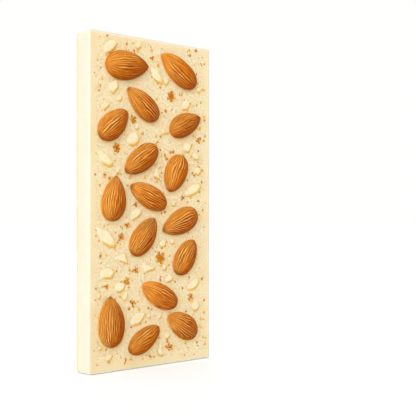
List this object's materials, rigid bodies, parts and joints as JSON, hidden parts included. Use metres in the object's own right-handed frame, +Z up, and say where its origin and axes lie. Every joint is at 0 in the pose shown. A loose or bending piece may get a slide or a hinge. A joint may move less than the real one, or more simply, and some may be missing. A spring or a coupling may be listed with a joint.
{
  "type": "chocolate bar",
  "caption": "Thick bar of white chocolate with whole almonds and nut flakes set in one side and grooved squares moulded on the other.",
  "frame": {"origin": "centre of the flat lower end that the bar stands on", "axes": "+Z up along the bar's length, -Y out of the side with the almonds, +Y out of the moulded side, +X to the right as seen from the almond side"},
  "size_m": [0.075, 0.0193, 0.156],
  "materials": {
    "white_chocolate": "satin",
    "almond_skin": "satin"
  },
  "bodies": {
    "root": {"chocolate": "white_chocolate", "almond_01": "almond_skin", "almond_02": "almond_skin", "almond_03": "almond_skin", "almond_04": "almond_skin", "almond_05": "almond_skin", "almond_06": "almond_skin", "almond_07": "almond_skin", "almond_08": "almond_skin", "almond_09": "almond_skin", "almond_10": "almond_skin", "almond_11": "almond_skin", "almond_12": "almond_skin", "almond_13": "almond_skin", "almond_14": "almond_skin", "almond_15": "almond_skin", "almond_16": "almond_skin"}
  },
  "joints": []
}
